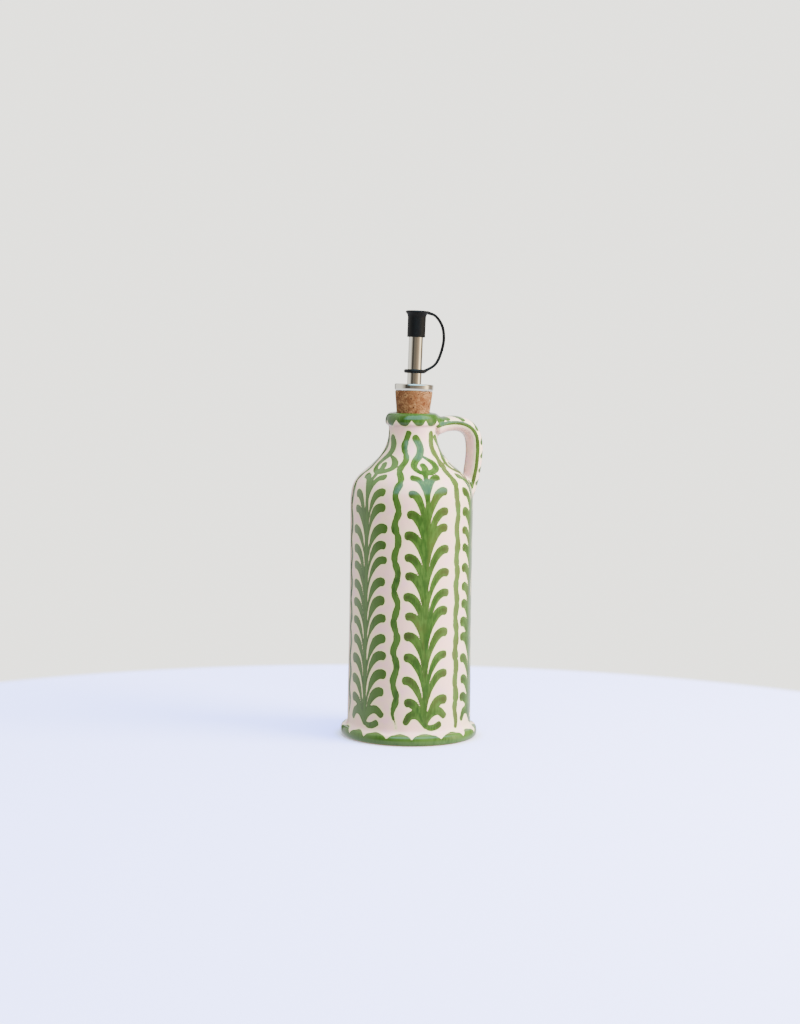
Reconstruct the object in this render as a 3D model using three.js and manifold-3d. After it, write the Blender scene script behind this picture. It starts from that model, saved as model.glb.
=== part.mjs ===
// A hand-painted ceramic olive oil bottle with a strap handle, stopped by a cork that holds a steel
// pouring spout with a capped end. Millimetres, +Z up. The origin is the centre of the underside, the
// handle stands towards +X, and the middle of the painted front looks towards -Y.
import * as THREE from "three";
import { mergeVertices } from "three/addons/utils/BufferGeometryUtils.js";
import Module from "manifold-3d";

const wasm = await Module();
wasm.setup();

// Bottle
const bodyRadius = 39.8; // wall of the cylinder
const wallSwell = 0.4; // the wall is this much wider at its base
const wallBase = 11;
const wallTop = 152;
const shoulderRadius = 29.2; // where the round of the shoulder turns into the hollow of the throat
const shoulderTop = 174;
const neckRadius = 15.5; // narrowest place, under the lip
const lipRadius = 18;
const lipDrop = 8.8; // crest of the lip to the neck under it
const crestRadius = 14.2;
const mouthRadius = 11.3;
const mouthRound = 2.6; // the lip's crest rounds into the mouth
const bottleHeight = 210; // underside to the crest of the lip
const footRadius = 44.4; // the foot stands proud of the wall
const footHeight = 7;
const footRound = 2.2;
const seatDepth = 15; // the cork's seat in the neck
const bodySides = 64;

// Handle
const handleHalfWidth = 9.5;
const handleHalfThickness = 4.9;
const handleSpread = 0.22; // growth of the section towards its two ends
const handleSquareness = 0.88; // exponent of the section, 1 for an ellipse
const handleRings = 30;
const handleSides = 18;

// Stopper and spout, measured along their own axis from the crest of the lip
const corkRadiusAtLip = 10.75;
const corkTaper = 0.098; // growth of radius for each millimetre upwards
const corkTop = 13.7;
const corkBottom = -12;
const corkSoftening = 0.6;
const collarRadius = 12.6;
const collarHeight = 4.3;
const tubeRadius = 4.6;
const tubeTop = 62.6;
const tubeSoftening = 0.4;
const gap = 0.3; // air between separate pieces
const turnedSides = 40;
const leanAngle = THREE.MathUtils.degToRad(2.5); // the stopper sits a little askew
const leanHeading = THREE.MathUtils.degToRad(37); // from +X towards +Y

// Cap with its strap and ring, one moulding
const capBottom = 48.8;
const capTop = 65.5;
const capRadius = 5.9;
const capWall = 0.95;
const flangeRadius = 7.6;
const flangeFlare = 4.6; // height over which the cup widens into its flange
const strapWidth = 3;
const strapThickness = 1.1;
const strapReach = 18; // from the tube's axis to the far side of the strap
const strapRings = 36;
const ringHeight = 26.5;
const ringRadius = 7;
const ringThickness = 2.5;
const ringClearance = 0.4; // the ring hangs loose round the tube

const glazedClay = new THREE.MeshStandardMaterial({ color: 0xe9ddd6, roughness: 0.16, metalness: 0 });
const corkBark = new THREE.MeshStandardMaterial({ color: 0xb98259, roughness: 0.85, metalness: 0 });
const steel = new THREE.MeshStandardMaterial({ color: 0xcfccc6, roughness: 0.14, metalness: 1 });
const blackRubber = new THREE.MeshStandardMaterial({ color: 0x1d1e20, roughness: 0.45, metalness: 0 });

const point = (radius, height) => new THREE.Vector2(radius, height);

// A closed solid of revolution about Z. The outline starts and ends on the axis, or closes on itself.
function turned(outline, sides = turnedSides) {
  return new THREE.LatheGeometry(outline, sides).rotateX(Math.PI / 2);
}

// A closed solid through equal rings of points, with a flat fan at each end.
function lofted(rings) {
  const sides = rings[0].length;
  const faces = [];
  for (let r = 0; r + 1 < rings.length; r++) {
    for (let s = 0; s < sides; s++) {
      const a = r * sides + s;
      const b = r * sides + ((s + 1) % sides);
      faces.push(a, b, a + sides, b, b + sides, a + sides);
    }
  }
  const last = (rings.length - 1) * sides;
  for (let s = 1; s + 1 < sides; s++) {
    faces.push(0, s + 1, s, last, last + s, last + s + 1);
  }
  const geometry = new THREE.BufferGeometry().setFromPoints(rings.flat());
  geometry.setIndex(faces);
  return geometry;
}

function toSolid(geometry) {
  const bare = geometry.clone();
  bare.deleteAttribute("normal");
  bare.deleteAttribute("uv");
  const merged = mergeVertices(bare, 1e-4);
  const mesh = new wasm.Mesh({
    numProp: 3,
    vertProperties: new Float32Array(merged.attributes.position.array),
    triVerts: new Uint32Array(merged.index.array),
  });
  return new wasm.Manifold(mesh);
}

function toGeometry(solid) {
  const { vertProperties, triVerts, numProp } = solid.getMesh();
  const corners = [];
  for (let i = 0; i < vertProperties.length; i += numProp) {
    corners.push(new THREE.Vector3(...vertProperties.subarray(i, i + 3)));
  }
  const geometry = new THREE.BufferGeometry().setFromPoints(corners);
  geometry.setIndex(Array.from(triVerts));
  geometry.computeVertexNormals();
  return geometry;
}

// A smooth line in the plane of the handle, from pairs of radius and height.
function lineInPlane(pairs) {
  const stations = pairs.map(([x, z]) => new THREE.Vector3(x, 0, z));
  return new THREE.CatmullRomCurve3(stations, false, "centripetal");
}

// One ring of points across a line: the section's sides run along Y, its faces away from the axis.
function ringAcross(line, share, section) {
  const centre = line.getPointAt(share);
  const along = line.getTangentAt(share);
  const across = new THREE.Vector3(0, 1, 0);
  const outwards = new THREE.Vector3(-along.z, 0, along.x);
  return section.map(([side, face]) =>
    centre.clone().addScaledVector(across, side).addScaledVector(outwards, face),
  );
}

// The outside of the bottle, from the middle of the underside to the round of the mouth.
function bottleOutline() {
  const footMiddle = footHeight / 2;
  const neckTop = bottleHeight - lipDrop;
  const bend = (...corners) => new THREE.QuadraticBezierCurve(...corners);
  const sweep = (...corners) => new THREE.CubicBezierCurve(...corners);
  const stretches = [
    bend(point(footRadius - footRound, 0), point(footRadius, 0), point(footRadius, footMiddle)).getPoints(3),
    bend(
      point(footRadius, footMiddle),
      point(footRadius, footHeight),
      point(footRadius - footRound, footHeight),
    ).getPoints(3),
    bend(
      point(footRadius - footRound, footHeight),
      point(bodyRadius + wallSwell, footHeight + 0.7),
      point(bodyRadius + wallSwell, wallBase),
    ).getPoints(4),
    bend(
      point(bodyRadius + wallSwell, wallBase),
      point(bodyRadius - wallSwell, wallTop / 2),
      point(bodyRadius, wallTop),
    ).getPoints(4),
    sweep(
      point(bodyRadius, wallTop),
      point(bodyRadius, wallTop + 13),
      point(bodyRadius - 4, wallTop + 16.7),
      point(shoulderRadius, shoulderTop),
    ).getPoints(8),
    sweep(
      point(shoulderRadius, shoulderTop),
      point(shoulderRadius - 7, shoulderTop + 5.5),
      point(neckRadius, shoulderTop + 13),
      point(neckRadius, neckTop - 3),
    ).getPoints(8),
    bend(
      point(neckRadius, neckTop - 1),
      point(neckRadius, neckTop + 0.4),
      point(lipRadius - 1, neckTop + 1),
    ).getPoints(2),
    sweep(
      point(lipRadius - 1, neckTop + 1),
      point(lipRadius + 0.4, neckTop + 2),
      point(lipRadius + 0.3, bottleHeight - 0.5),
      point(crestRadius, bottleHeight),
    ).getPoints(6),
    bend(
      point(crestRadius, bottleHeight),
      point(mouthRadius, bottleHeight),
      point(mouthRadius, bottleHeight - mouthRound),
    ).getPoints(3),
  ];
  const outline = [point(0, 0)];
  for (const stretch of stretches) {
    const repeated = outline[outline.length - 1].distanceTo(stretch[0]) < 1e-6;
    outline.push(...stretch.slice(repeated ? 1 : 0));
  }
  outline.push(point(0, bottleHeight - mouthRound));
  return outline;
}

// A strap from inside the neck's wall, over and down to inside the shoulder, fullest at its two ends.
function handle() {
  const line = lineInPlane([
    [13.2, 200.2],
    [21, 202.6],
    [29.6, 202.9],
    [36.2, 200.4],
    [40.1, 195.2],
    [41.4, 188],
    [41.2, 180.5],
    [40.3, 173],
    [38.7, 165.5],
    [36, 158],
    [32.6, 151.5],
  ]);
  const rounded = (value) => Math.sign(value) * Math.pow(Math.abs(value), handleSquareness);
  const rings = [];
  for (let r = 0; r <= handleRings; r++) {
    const share = r / handleRings;
    const fullness = 1 + handleSpread * Math.pow(Math.abs(2 * share - 1), 6);
    const section = [];
    for (let s = 0; s < handleSides; s++) {
      const turn = (2 * Math.PI * s) / handleSides;
      section.push([
        rounded(Math.cos(turn)) * handleHalfWidth * fullness,
        rounded(Math.sin(turn)) * handleHalfThickness * fullness,
      ]);
    }
    rings.push(ringAcross(line, share, section));
  }
  return lofted(rings);
}

// Body, foot, lip and handle are fired as one piece. The seat is cut last, so the handle can't close it.
function bottle() {
  const seatFloor = bottleHeight - seatDepth;
  const seat = turned(
    [
      point(0, seatFloor),
      point(mouthRadius, seatFloor),
      point(mouthRadius, bottleHeight),
      point(0, bottleHeight),
    ],
    bodySides,
  );
  const body = toSolid(turned(bottleOutline(), bodySides));
  return toGeometry(body.add(toSolid(handle())).subtract(toSolid(seat)));
}

// A tapered plug with softened edges and a hole for the tube.
function cork() {
  const radiusAt = (height) => corkRadiusAtLip + corkTaper * height;
  const bore = tubeRadius + gap;
  return turned([
    point(bore, corkBottom),
    point(radiusAt(corkBottom) - corkSoftening, corkBottom),
    point(radiusAt(corkBottom), corkBottom + corkSoftening),
    point(radiusAt(corkTop), corkTop - corkSoftening / 2),
    point(radiusAt(corkTop) - corkSoftening / 2, corkTop),
    point(bore, corkTop),
    point(bore, corkBottom),
  ]);
}

// A pressed disc with a fully rounded rim, over the top of the cork.
function collar() {
  const low = corkTop + gap;
  const high = low + collarHeight;
  const bore = tubeRadius + gap;
  const rim = new THREE.CubicBezierCurve(
    point(collarRadius - 0.5, low),
    point(collarRadius + 0.2, low + 0.4),
    point(collarRadius + 0.6, high - 0.2),
    point(collarRadius - 3, high),
  );
  return turned([point(bore, low), ...rim.getPoints(8), point(bore, high), point(bore, low)]);
}

function pourTube() {
  return turned([
    point(0, corkBottom),
    point(tubeRadius, corkBottom),
    point(tubeRadius, tubeTop - tubeSoftening),
    point(tubeRadius - tubeSoftening, tubeTop),
    point(0, tubeTop),
  ]);
}

// A cup over the end of the tube, flared at its closed top.
function capCup() {
  const bore = tubeRadius + gap;
  const rim = 0.3;
  return turned([
    point(bore, capBottom),
    point(bore + capWall - rim / 2, capBottom),
    point(bore + capWall, capBottom + rim),
    point(capRadius, capTop - flangeFlare),
    point(flangeRadius - rim, capTop - 1.6),
    point(flangeRadius, capTop - 1),
    point(flangeRadius - rim / 2, capTop - 0.4),
    point(flangeRadius - 3 * rim, capTop - 0.1),
    point(0, capTop + 0.2),
    point(0, tubeTop + gap),
    point(bore, tubeTop + gap),
    point(bore, capBottom),
  ]);
}

// The ring that ends the strap, loose round the tube.
function capRing() {
  const inner = tubeRadius + ringClearance;
  const middle = (inner + ringRadius) / 2;
  const reach = (ringRadius - inner) / 2;
  const facets = 10;
  const outline = [];
  for (let s = 0; s <= facets; s++) {
    const turn = (2 * Math.PI * s) / facets;
    const height = ringHeight - (ringThickness / 2) * Math.sin(turn);
    outline.push(point(middle - reach * Math.cos(turn), height));
  }
  return turned(outline);
}

// The flat strap bows out from the flange and comes back to the ring.
function strap() {
  const start = capTop - 0.9;
  const line = lineInPlane([
    [flangeRadius - 1.2, start],
    [12, start - 2],
    [16.6, start - 8.1],
    [strapReach, start - 16.1],
    [16.7, start - 25.1],
    [13.3, start - 33.1],
    [ringRadius - 0.9, ringHeight],
  ]);
  const side = strapWidth / 2;
  const face = strapThickness / 2;
  const section = [
    [side, 0.6 * face],
    [0.7 * side, face],
    [-0.7 * side, face],
    [-side, 0.6 * face],
    [-side, -0.6 * face],
    [-0.7 * side, -face],
    [0.7 * side, -face],
    [side, -0.6 * face],
  ];
  const rings = [];
  for (let r = 0; r <= strapRings; r++) rings.push(ringAcross(line, r / strapRings, section));
  return lofted(rings);
}

function spoutCap() {
  return toGeometry(toSolid(capCup()).add(toSolid(strap())).add(toSolid(capRing())));
}

function named(name, geometry, material) {
  const mesh = new THREE.Mesh(geometry, material);
  mesh.name = name;
  return mesh;
}

// Everything above the lip leans with the cork.
const stopper = new THREE.Group();
stopper.add(
  named("cork_stopper", cork(), corkBark),
  named("spout_collar", collar(), steel),
  named("spout_tube", pourTube(), steel.clone()),
  named("spout_cap", spoutCap(), blackRubber),
);
const leanAxis = new THREE.Vector3(-Math.sin(leanHeading), Math.cos(leanHeading), 0);
stopper.quaternion.setFromAxisAngle(leanAxis, leanAngle);
stopper.position.set(0, 0, bottleHeight);

const oilBottle = new THREE.Group();
oilBottle.add(named("ceramic_bottle", bottle(), glazedClay), stopper);

export default oilBottle;
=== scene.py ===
# The looks of a hand-painted ceramic oil bottle with a cork, a steel pouring spout and a strapped cap.
# Blender works in metres here. Sizes in the dictionaries are in millimetres unless a note says otherwise.
import math

import bmesh
import bpy
import numpy as np
from mathutils import Matrix, Vector
from mathutils.bvhtree import BVHTree
from mathutils.kdtree import KDTree


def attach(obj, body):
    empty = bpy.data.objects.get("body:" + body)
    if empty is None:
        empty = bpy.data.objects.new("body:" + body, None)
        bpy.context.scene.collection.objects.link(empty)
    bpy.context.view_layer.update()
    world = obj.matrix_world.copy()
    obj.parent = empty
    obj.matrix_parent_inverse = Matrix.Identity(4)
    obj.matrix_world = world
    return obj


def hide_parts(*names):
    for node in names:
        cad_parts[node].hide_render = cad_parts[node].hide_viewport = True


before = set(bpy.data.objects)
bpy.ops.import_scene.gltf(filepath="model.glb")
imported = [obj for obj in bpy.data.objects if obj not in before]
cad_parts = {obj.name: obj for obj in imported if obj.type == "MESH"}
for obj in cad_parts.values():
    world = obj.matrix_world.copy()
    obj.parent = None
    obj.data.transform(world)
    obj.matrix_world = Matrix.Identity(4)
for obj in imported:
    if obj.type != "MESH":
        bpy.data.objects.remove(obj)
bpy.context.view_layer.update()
scene = bpy.context.scene
mm = 0.001


def report(stage):
    print("bottle:", stage)


# Node helpers

def mathMethod(operation, swapped=False):
    def method(self, other):
        return self.book.calc(operation, *((other, self) if swapped else (self, other)))

    return method


class Wire:  # one output socket, so that sums and products read as plain expressions
    def __init__(self, book, socket):
        self.book = book
        self.socket = socket

    __add__ = mathMethod("ADD")
    __sub__ = mathMethod("SUBTRACT")
    __rsub__ = mathMethod("SUBTRACT", swapped=True)
    __mul__ = mathMethod("MULTIPLY")
    __truediv__ = mathMethod("DIVIDE")
    __pow__ = mathMethod("POWER")


class NodeBook:  # writes nodes into one shader or geometry tree
    def __init__(self, tree):
        self.tree = tree

    def add(self, kind, settings=None, inputs=None):
        made = self.tree.nodes.new(kind)
        for name, value in (settings or {}).items():
            setattr(made, name, value)
        for key, value in (inputs or {}).items():
            if isinstance(value, Wire):
                self.tree.links.new(value.socket, made.inputs[key])
            else:
                made.inputs[key].default_value = value
        return made

    def node(self, kind, settings=None, inputs=None, output=0):
        return Wire(self, self.add(kind, settings, inputs).outputs[output])

    def calc(self, operation, first, second=0.0):
        return self.node("ShaderNodeMath", {"operation": operation}, {0: first, 1: second})

    def smooth(self, value, low, high, toLow=0.0, toHigh=1.0):
        inputs = {"Value": value, "From Min": low, "From Max": high, "To Min": toLow, "To Max": toHigh}
        return self.node("ShaderNodeMapRange", {"interpolation_type": "SMOOTHSTEP"}, inputs)

    def blend(self, share, first, second):
        return self.node("ShaderNodeMix", {"data_type": "RGBA"}, {0: share, 6: first, 7: second}, 2)

    def noise(self, place, scale, detail=2.0, roughness=0.5, output=0):
        inputs = {"Vector": place, "Scale": scale, "Detail": detail, "Roughness": roughness}
        return self.node("ShaderNodeTexNoise", None, inputs, output)

    def cells(self, place, scale, output=0, feature="F1"):
        inputs = {"Vector": place, "Scale": scale}
        return self.node("ShaderNodeTexVoronoi", {"feature": feature}, inputs, output)

    def stretched(self, place, factors):
        return self.node("ShaderNodeMapping", None, {"Vector": place, "Scale": factors})

    def split(self, vector):
        made = self.add("ShaderNodeSeparateXYZ", None, {0: vector})
        return [Wire(self, socket) for socket in made.outputs]

    def join(self, x, y, z):
        return self.node("ShaderNodeCombineXYZ", None, {0: x, 1: y, 2: z})

    def vector(self, operation, inputs, output=0):
        return self.node("ShaderNodeVectorMath", {"operation": operation}, inputs, output)

    def bump(self, height, strength=1.0):  # height in millimetres
        return self.node("ShaderNodeBump", None, {"Strength": strength, "Distance": mm, "Height": height})


def newObject(name, data):
    made = bpy.data.objects.new(name, data)
    scene.collection.objects.link(made)
    return made


def srgb(red, green, blue):
    def linear(value):
        value = value / 255
        return value / 12.92 if value <= 0.04045 else ((value + 0.055) / 1.055) ** 2.4

    return (linear(red), linear(green), linear(blue), 1.0)


def freshBook(holder):
    holder.use_nodes = True
    holder.node_tree.nodes.clear()
    return NodeBook(holder.node_tree)


def newMaterial(name):  # with its object coordinates
    material = bpy.data.materials.new(name)
    book = freshBook(material)
    return material, book, book.node("ShaderNodeTexCoord", None, None, "Object")


def finishMaterial(book, sockets):
    surface = book.node("ShaderNodeBsdfPrincipled", None, sockets)
    book.add("ShaderNodeOutputMaterial", None, {"Surface": surface})


# Camera

cameraFit = {
    "distance": 1345.0,  # level distance to the bottle's axis
    "height": 269.0,
    "azimuth": -14.6,  # degrees, 0 looks along +Y
    "pitch": 5.25,
    "turn": 0.32,  # the bottle stands a little right of the middle
    "roll": 0.78,
    "lens": 73.3,
    "sensor": 36.0,
}


def placeCamera(fit):
    azimuth, pitch, turn, roll = (math.radians(fit[k]) for k in ("azimuth", "pitch", "turn", "roll"))
    data = bpy.data.cameras.new("camera")
    data.lens = fit["lens"]
    data.sensor_width = fit["sensor"]
    camera = newObject("camera", data)
    reach = fit["distance"] * mm
    place = Vector((math.sin(azimuth) * reach, -math.cos(azimuth) * reach, fit["height"] * mm))
    spin = (
        Matrix.Rotation(azimuth + turn, 4, "Z")
        @ Matrix.Rotation(math.pi / 2 - pitch, 4, "X")
        @ Matrix.Rotation(roll, 4, "Z")
    )
    camera.matrix_world = Matrix.Translation(place) @ spin
    scene.camera = camera


placeCamera(cameraFit)
report("camera placed")


# Curves and forms

def bend(*corners, steps=12):  # points of a Bezier curve with three or four corners
    corners = np.array(corners, float)
    share = np.linspace(0, 1, steps + 1)[:, None]
    degree = len(corners) - 1
    weights = [math.comb(degree, k) * (1 - share) ** (degree - k) * share**k for k in range(degree + 1)]
    return sum(weight * corner for weight, corner in zip(weights, corners))


def smoothLine(stations, steps=24):  # a centripetal curve through all the stations
    stations = np.array(stations, float)
    padded = np.vstack([2 * stations[0] - stations[1], stations, 2 * stations[-1] - stations[-2]])
    points = []
    for k in range(1, len(padded) - 2):
        a, b, c, d = padded[k - 1 : k + 3]
        knots = np.cumsum([0.0] + [math.dist(p, q) ** 0.5 for p, q in ((a, b), (b, c), (c, d))])
        for t in np.linspace(knots[1], knots[2], steps, endpoint=False):
            ab, bc, cd = (
                p + (q - p) * (t - s) / (e - s)
                for p, q, s, e in zip((a, b, c), (b, c, d), knots[:3], knots[1:])
            )
            abc = ab + (bc - ab) * (t - knots[0]) / (knots[2] - knots[0])
            bcd = bc + (cd - bc) * (t - knots[1]) / (knots[3] - knots[1])
            points.append(abc + (bcd - abc) * (t - knots[1]) / (knots[2] - knots[1]))
    points.append(stations[-1])
    return np.array(points)


def outlineFrom(*stretches):
    points = []
    for stretch in stretches:
        for point in np.atleast_2d(stretch):
            if not points or math.dist(points[-1], point) > 1e-4:
                points.append(tuple(point))
    return np.array(points)


def finely(points, step):  # more points along the straight stretches, with every corner kept
    made = [points[0]]
    for start, end in zip(points, points[1:]):
        parts = max(1, math.ceil(math.dist(start, end) / step((start + end) / 2)))
        made += [start + (end - start) * k / parts for k in range(1, parts + 1)]
    return np.array(made)


def guideCurve(name, points):  # a poly curve in the XZ plane, points as radius and height in millimetres
    data = bpy.data.curves.new(name, "CURVE")
    data.dimensions = "3D"
    spline = data.splines.new("POLY")
    spline.points.add(len(points) - 1)
    for target, (x, z) in zip(spline.points, points):
        target.co = (x * mm, 0.0, z * mm, 1.0)
    return newObject(name, data)


def newGeometryTree(name, guide, counts, shape):  # the labels of the inputs
    common = ["Wobble", "Wobble Scale", "Seed"]
    sockets = {"Object": [guide], "Int": counts, "Float": shape + common, "Material": ["Material"]}
    tree = bpy.data.node_groups.new(name, "GeometryNodeTree")
    for kind, labels in sockets.items():
        for label in labels:
            tree.interface.new_socket(label, in_out="INPUT", socket_type="NodeSocket" + kind)
    tree.interface.new_socket("Geometry", in_out="OUTPUT", socket_type="NodeSocketGeometry")
    book = NodeBook(tree)
    entry = book.add("NodeGroupInput")
    given = {label: Wire(book, entry.outputs[label]) for labels in sockets.values() for label in labels}
    return tree, book, given


def gridShares(book, columns, rows):  # a flat grid, with its place as two shares from 0 to 1
    inputs = {"Size X": 1.0, "Size Y": 1.0, "Vertices X": columns, "Vertices Y": rows}
    grid = book.node("GeometryNodeMeshGrid", None, inputs)
    across, along, _ = book.split(book.node("GeometryNodeInputPosition"))
    return grid, across + 0.5, along + 0.5


def readGuide(book, guide):
    return book.node("GeometryNodeObjectInfo", None, {"Object": guide}, "Geometry")


def sampleGuide(book, guide, share, output):
    inputs = {"Curves": readGuide(book, guide), "Factor": share}
    return book.node("GeometryNodeSampleCurve", {"mode": "FACTOR"}, inputs, output)


def cosineAndSine(book, share):
    turn = share * math.tau
    return book.calc("COSINE", turn), book.calc("SINE", turn)


def unevenness(book, given, place, detail):
    noise = book.node(
        "ShaderNodeTexNoise",
        {"noise_dimensions": "4D"},
        {"Vector": place, "W": given["Seed"], "Scale": given["Wobble Scale"], "Detail": detail},
    )
    return (noise - 0.5) * given["Wobble"]


def closeForm(book, grid, place, material):
    moved = book.node("GeometryNodeSetPosition", None, {"Geometry": grid, "Position": place})
    merged = book.node("GeometryNodeMergeByDistance", None, {"Geometry": moved, "Distance": 2e-6})
    smooth = book.node("GeometryNodeSetShadeSmooth", None, {"Geometry": merged, "Shade Smooth": True})
    real = book.node("GeometryNodeRealizeInstances", None, {"Geometry": smooth})
    dressed = book.node("GeometryNodeSetMaterial", None, {"Geometry": real, "Material": material})
    book.add("NodeGroupOutput", None, {"Geometry": dressed})


# A profile turned about the axis, with slow wobble from throwing by hand, and pits where asked for
def makeTurnedTree():
    shape = ["Pit Depth", "Pit Scale", "Pit Share"]
    tree, book, given = newGeometryTree("turnedForm", "Profile", ["Columns", "Rows"], shape)
    grid, around, along = gridShares(book, given["Columns"], given["Rows"])
    path = readGuide(book, given["Profile"])
    row = book.calc("ROUND", along * (given["Rows"] - 1.0))
    outline = book.node(
        "GeometryNodeSampleIndex",
        {"data_type": "FLOAT_VECTOR", "domain": "POINT"},
        {"Geometry": path, "Value": book.node("GeometryNodeInputPosition"), "Index": row},
    )
    radius, _, height = book.split(outline)
    cosine, sine = cosineAndSine(book, around)
    spot = book.join(radius * cosine, radius * sine, height)
    pit = book.node(
        "ShaderNodeTexVoronoi",
        {"voronoi_dimensions": "4D"},
        {"Vector": spot, "W": given["Seed"], "Scale": given["Pit Scale"]},
    )
    sunk = book.smooth(pit, given["Pit Share"], 0.0) * given["Pit Depth"]
    offAxis = book.smooth(radius, 0.0, 0.012)  # the middle of the foot stays put
    pushed = radius + unevenness(book, given, spot, 2.5) * offAxis - sunk
    kept = book.calc("MAXIMUM", pushed, 0.0)
    closeForm(book, grid, book.join(kept * cosine, kept * sine, height), given["Material"])
    return tree


# A section swept along a guide in the XZ plane: across runs along Y, and the flare fills out both ends
def makeSweptTree():
    shape = ["Half Width", "Half Thickness", "Squareness", "Flare", "Flare Power"]
    tree, book, given = newGeometryTree("sweptForm", "Path", ["Sides", "Rings"], shape)
    grid, around, along = gridShares(book, given["Sides"], given["Rings"])
    middleX, _, middleZ = book.split(sampleGuide(book, given["Path"], along, "Position"))
    outZ, _, down = book.split(sampleGuide(book, given["Path"], along, "Tangent"))
    outX = down * -1.0
    cosine, sine = cosineAndSine(book, around)

    def rounded(value):
        size = book.calc("ABSOLUTE", value) ** given["Squareness"]
        return size * book.calc("SIGN", value)

    ends = book.calc("ABSOLUTE", along * 2.0 - 1.0)
    fullness = given["Flare"] * (ends ** given["Flare Power"]) + 1.0
    shut = book.calc("LESS_THAN", ends, 0.9999)  # both ends come together in a point
    besidePath = 0.012  # metres from the path to where the noise is read
    spot = book.join(middleX + cosine * besidePath, sine * besidePath, middleZ)
    extra = unevenness(book, given, spot, 1.0)
    across = rounded(cosine) * (given["Half Width"] + extra) * fullness * shut
    outwards = rounded(sine) * (given["Half Thickness"] + extra) * fullness * shut
    place = book.join(middleX + outX * outwards, across, middleZ + outZ * outwards)
    closeForm(book, grid, place, given["Material"])
    return tree


turnedTree = makeTurnedTree()
sweptTree = makeSweptTree()
lengthInputs = ("Wobble", "Pit Depth", "Half Width", "Half Thickness")  # given in millimetres


def inputKey(label):  # "Half Width" becomes "halfWidth"
    return label[0].lower() + label[1:].replace(" ", "")


def grow(name, tree, values):  # runs a tree and keeps its result as a plain mesh
    host = newObject(name + "Host", bpy.data.meshes.new(name + "Host"))
    modifier = host.modifiers.new("form", "NODES")
    modifier.node_group = tree
    for item in tree.interface.items_tree:
        if item.in_out == "INPUT" and inputKey(item.name) in values:
            value = values[inputKey(item.name)]
            modifier[item.identifier] = value * mm if item.name in lengthInputs else value
    mesh = settledMesh(host, name)
    bpy.data.objects.remove(host)
    pointOutwards(mesh)
    return newObject(name, mesh)


def settledMesh(host, name):  # the mesh that the modifiers make, and the modifiers are taken off
    depsgraph = bpy.context.evaluated_depsgraph_get()
    mesh = bpy.data.meshes.new_from_object(host.evaluated_get(depsgraph))
    host.modifiers.clear()
    mesh.name = name
    return mesh


smoothSkin = {"wobble": 0.0, "wobbleScale": 50.0, "seed": 1.0}
noPits = {"pitDepth": 0.0, "pitScale": 1.0, "pitShare": 0.1}


def growTurned(name, guide, rows, s):
    counts = {"columns": s["columns"] + 1, "rows": rows}
    return grow(name, turnedTree, {**smoothSkin, **noPits, **s, "profile": guide, **counts})


def pointOutwards(mesh):
    mesh.calc_loop_triangles()
    corners = pointsOf(mesh)
    triangles = np.zeros(len(mesh.loop_triangles) * 3, int)
    mesh.loop_triangles.foreach_get("vertices", triangles)
    a, b, c = (corners[triangles.reshape(-1, 3)[:, k]] for k in range(3))
    if np.einsum("ij,ij->i", a, np.cross(b, c)).sum() < 0:
        mesh.flip_normals()


def uniteWith(piece, others):  # one closed shell from several that cross
    for other in others:
        modifier = piece.modifiers.new("join", "BOOLEAN")
        modifier.operation = "UNION"
        modifier.solver = "MANIFOLD"
        modifier.object = other
        piece.data = settledMesh(piece, piece.name)
        bpy.data.objects.remove(other)
    for polygon in piece.data.polygons:
        polygon.use_smooth = True


def pointsOf(mesh):
    points = np.zeros(len(mesh.vertices) * 3)
    mesh.vertices.foreach_get("co", points)
    return points.reshape(-1, 3)


def lengthsAlong(line):
    return np.concatenate([[0], np.cumsum(np.linalg.norm(np.diff(line, axis=0), axis=1))])


def dress(piece, material, slot, *nodes):
    piece.data.materials.clear()
    piece.data.materials.append(material)
    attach(piece, "root")
    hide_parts(*nodes)


# Bottle form

bottleSizes = {
    "bodyRadius": 39.8,
    "wallSwell": 0.4,
    "wallBase": 11.0,
    "wallTop": 152.0,
    "shoulderRadius": 29.2,
    "shoulderTop": 174.0,
    "neckRadius": 15.5,
    "lipRadius": 18.0,
    "lipDrop": 8.8,
    "crestRadius": 14.2,
    "mouthRadius": 11.3,
    "mouthRound": 2.6,
    "height": 210.0,
    "footRadius": 44.4,
    "footHeight": 7.0,
    "footRound": 2.2,
    "seatDepth": 15.0,
    "columns": 400,
    "rowStep": 1.45,
    "fineStep": 0.9,
    "fineAbove": 196.0,  # at the lip
    "fineBelow": 12.0,  # at the foot
    "hiddenStep": 4.0,  # only where nobody looks: under the foot and in the cork's seat
    "wobble": 0.55,
    "wobbleScale": 22.0,  # for each metre
    "seed": 3.0,
}


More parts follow.
